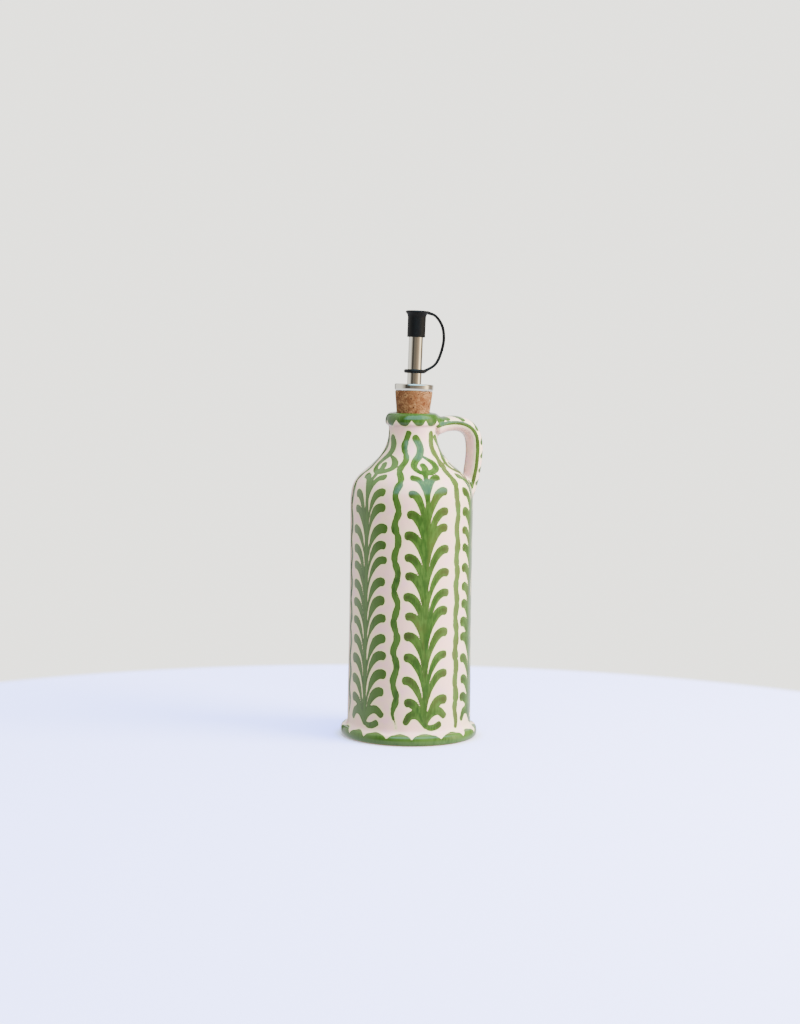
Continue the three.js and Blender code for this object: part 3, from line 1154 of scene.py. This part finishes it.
stageLook = {
    "cloth": srgb(226, 232, 250),
    "clothGlow": (0.05, 0.30, 3.3, 1.0),
    "wall": (2.60, 2.56, 2.36, 1.0),  # as bright as the photograph shows it
    "reach": 0.50,
    "fade": 0.025,
    "contact": 0.0435,  # the cloth's glow fades out towards this radius, a painted contact shadow round the foot; inside it the bottle covers the cloth
    "contactGlow": (0.0, 0.02, 0.1, 1.0),
    "shift": -0.215,  # towards the camera, so that the floor ends behind the bottle
    "aspect": math.radians(cameraFit["azimuth"]),
    "points": 128,
}
roomLook = {
    "mirrored": 3.0,
    "around": [  # bearing from the camera's side: 0 and 1 are behind the bottle, 0.5 is in front
        (0.0, 0.50, 0.50, 0.48),
        (0.045, 0.45, 0.45, 0.43),
        (0.062, 0.05, 0.05, 0.05),
        (0.088, 0.05, 0.05, 0.05),
        (0.105, 0.42, 0.42, 0.40),
        (0.165, 0.46, 0.46, 0.43),
        (0.255, 0.48, 0.48, 0.44),
        (0.288, 0.42, 0.42, 0.38),
        (0.318, 0.23, 0.22, 0.20),
        (0.345, 0.13, 0.125, 0.11),
        (0.362, 0.028, 0.027, 0.024),
        (0.425, 0.030, 0.028, 0.024),
        (0.440, 0.080, 0.072, 0.058),
        (0.520, 0.085, 0.074, 0.058),
        (0.580, 0.14, 0.115, 0.085),
        (0.630, 0.20, 0.155, 0.11),
        (0.675, 0.42, 0.33, 0.22),
        (0.705, 1.05, 0.84, 0.50),
        (0.738, 1.30, 1.08, 0.66),
        (0.765, 0.50, 0.43, 0.31),
        (0.790, 0.14, 0.11, 0.08),
        (0.880, 0.17, 0.14, 0.11),
        (0.920, 0.48, 0.48, 0.45),
        (1.0, 0.50, 0.50, 0.48),
    ],
    "sky": (0.58, 1.22, 1.60, 1.0),
    "roof": (0.10, 0.10, 0.10, 1.0),
    "ground": (0.48, 0.50, 0.54, 1.0),
    "soft": (1.0, 0.97, 0.93, 1.0),
    "softLevel": 1.25,
    "softRight": 0.55,  # more light from the right
    "softUp": 0.9,
}
lampLook = {
    "key": {"place": (1.15, -0.75, 0.75), "size": (0.9, 1.0), "power": 105.0, "colour": (1.0, 0.88, 0.78)},
    "fill": {"place": (-0.5, -1.2, 0.7), "size": (0.9, 0.9), "power": 3.0, "colour": (1.0, 0.97, 0.9)},
    "top": {"place": (0.1, -0.2, 1.6), "size": (1.2, 1.2), "power": 38.0, "colour": (0.80, 0.92, 1.0)},
}


def makeFloor(look):
    points, reach, shift = look["points"], look["reach"], look["shift"]
    centre = (shift * -math.sin(look["aspect"]), shift * math.cos(look["aspect"]), 0.0)
    shape = bmesh.new()
    rims = []
    for radius in (0.5 * reach, reach):
        turns = [math.tau * k / points for k in range(points)]
        spots = [(centre[0] + radius * math.cos(t), centre[1] + radius * math.sin(t), 0.0) for t in turns]
        rims.append([shape.verts.new(spot) for spot in spots])
    shape.faces.new(rims[0])
    for k in range(points):
        after = (k + 1) % points
        shape.faces.new((rims[0][k], rims[1][k], rims[1][after], rims[0][after]))
    mesh = bpy.data.meshes.new("paleFloor")
    shape.to_mesh(mesh)
    shape.free()
    floor = newObject("paleFloor", mesh)
    material, book, place = newMaterial("paleFloor")
    away = book.vector("DISTANCE", {0: place, 1: centre}, "Value")
    faded = book.smooth(away, reach - look["fade"], reach - 0.002)
    fromAxis = book.vector("LENGTH", {0: place}, "Value")
    # painted contact shadow: the cloth's glow is dimmed in a ring round the foot
    contactShadeFade = book.smooth(fromAxis, look["contact"], look["contact"] + 0.008)
    sockets = {
        "Base Color": look["cloth"],
        "Roughness": 0.9,
        "Specular IOR Level": 0.1,
        "Emission Color": book.blend(contactShadeFade, look["contactGlow"], look["clothGlow"]),
        "Emission Strength": 1.0,
    }
    cloth = book.node("ShaderNodeBsdfPrincipled", None, sockets)
    clear = book.node("ShaderNodeBsdfTransparent")
    mixed = book.node("ShaderNodeMixShader", None, {0: faded, 1: cloth, 2: clear})
    book.add("ShaderNodeOutputMaterial", None, {"Surface": mixed})
    mesh.materials.append(material)
    floor.visible_glossy = False
    floor.visible_diffuse = False  # the room's soft light stands for what it would throw back


def makeLamps(lamps):
    for name, lamp in lamps.items():
        data = bpy.data.lights.new(name, "AREA")
        data.shape = "RECTANGLE"
        data.size, data.size_y = lamp["size"]
        data.energy = lamp["power"]
        data.color = lamp["colour"]
        holder = newObject(name, data)
        holder.visible_glossy = False  # the room alone is mirrored in the glaze and the steel
        place = Vector(lamp["place"])
        aim = Vector((0.0, 0.0, 0.13)) - place
        holder.matrix_world = Matrix.Translation(place) @ aim.to_track_quat("-Z", "Y").to_matrix().to_4x4()


def makeRoom(look, wallColour, aspect):
    world = bpy.data.worlds.new("room")
    book = freshBook(world)
    east, north, up = book.split(book.node("ShaderNodeTexCoord", None, None, "Generated"))
    rightward = east * math.cos(aspect) + north * math.sin(aspect)
    forward = east * math.sin(aspect) - north * math.cos(aspect)
    bearing = book.calc("ARCTAN2", rightward, forward) / math.tau + 0.5
    around = book.node("ShaderNodeValToRGB", None, {0: bearing})
    stops = around.socket.node.color_ramp.elements
    while len(stops) < len(look["around"]):
        stops.new(0.5)
    for stop, (place, *colour) in zip(stops, look["around"]):
        stop.position = place
        stop.color = (*colour, 1.0)
    opening = book.smooth(bearing, 0.37, 0.43) * book.smooth(bearing, 0.77, 0.69)  # between two walls
    skyShare = book.smooth(up, 0.26, 0.42) * opening
    mirrored = book.blend(skyShare, around, look["sky"])
    mirrored = book.blend(book.smooth(up, 0.93, 0.985), mirrored, look["roof"])
    mirrored = book.blend(book.smooth(up, -0.06, -0.34), mirrored, look["ground"])
    upward = book.calc("MAXIMUM", up, 0.0)
    level = rightward * look["softRight"] + upward * look["softUp"] + look["softLevel"]
    soft, sharp, wall = (
        book.node("ShaderNodeBackground", None, {"Color": colour, "Strength": strength})
        for colour, strength in ((look["soft"], level), (mirrored, look["mirrored"]), (wallColour, 1.0))
    )
    path = book.add("ShaderNodeLightPath")
    glossy, direct = Wire(book, path.outputs["Is Glossy Ray"]), Wire(book, path.outputs["Is Camera Ray"])
    room = book.node("ShaderNodeMixShader", None, {0: glossy, 1: soft, 2: sharp})
    mixed = book.node("ShaderNodeMixShader", None, {0: direct, 1: room, 2: wall})
    book.add("ShaderNodeOutputWorld", None, {"Surface": mixed})
    scene.world = world


makeFloor(stageLook)
makeLamps(lampLook)
makeRoom(roomLook, stageLook["wall"], stageLook["aspect"])
report("floor and lamps set")

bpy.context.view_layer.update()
report("done")
